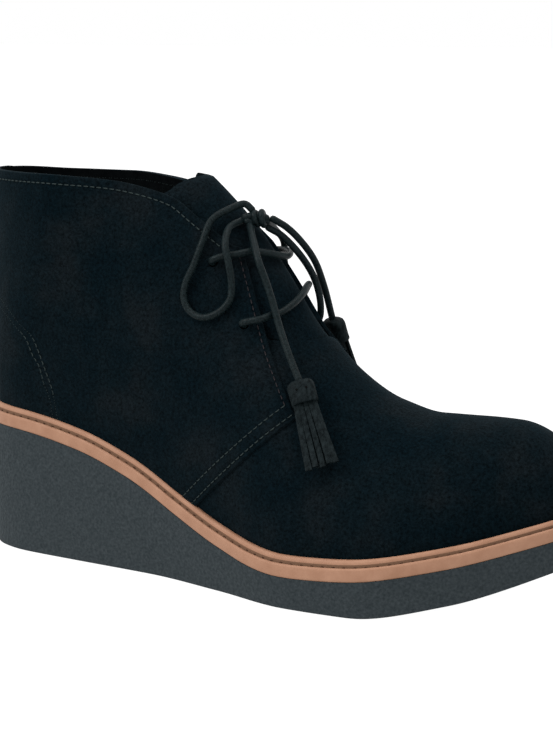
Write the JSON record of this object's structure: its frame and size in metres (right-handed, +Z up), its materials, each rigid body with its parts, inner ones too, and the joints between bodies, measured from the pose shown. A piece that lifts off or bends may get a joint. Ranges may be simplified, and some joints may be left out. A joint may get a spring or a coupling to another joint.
{
  "type": "wedge ankle boot",
  "caption": "Suede ankle boot on a curved wedge sole, with a stitched storm welt, an open throat with a tongue, and a bow-tied lace ending in fringed tassels.",
  "frame": {"origin": "on the floor below the middle of the boot's box, lace and tassels left out", "axes": "+X toward the toe, +Y toward the inner side of the right foot, +Z up"},
  "size_m": [0.262, 0.094, 0.1545],
  "materials": {
    "sole": "matt, finely pebbled",
    "welt": "smooth natural tan, satin",
    "insole": "smooth lining",
    "upper": "napped suede",
    "tongue": "napped suede",
    "lace": "waxed round lace, soft sheen",
    "tassel": "smooth with soft sheen"
  },
  "bodies": {
    "root": {"sole": "sole", "welt": "welt", "insole": "insole", "upper": "upper", "tongue": "tongue", "lace_bar_lower": "lace", "lace_bar_upper": "lace", "knot": "lace", "lace_loop_lateral": "lace", "lace_loop_medial": "lace", "lace_end_lateral": "lace", "lace_end_medial": "lace", "tassel_lateral": "tassel", "tassel_medial": "tassel"}
  },
  "joints": []
}
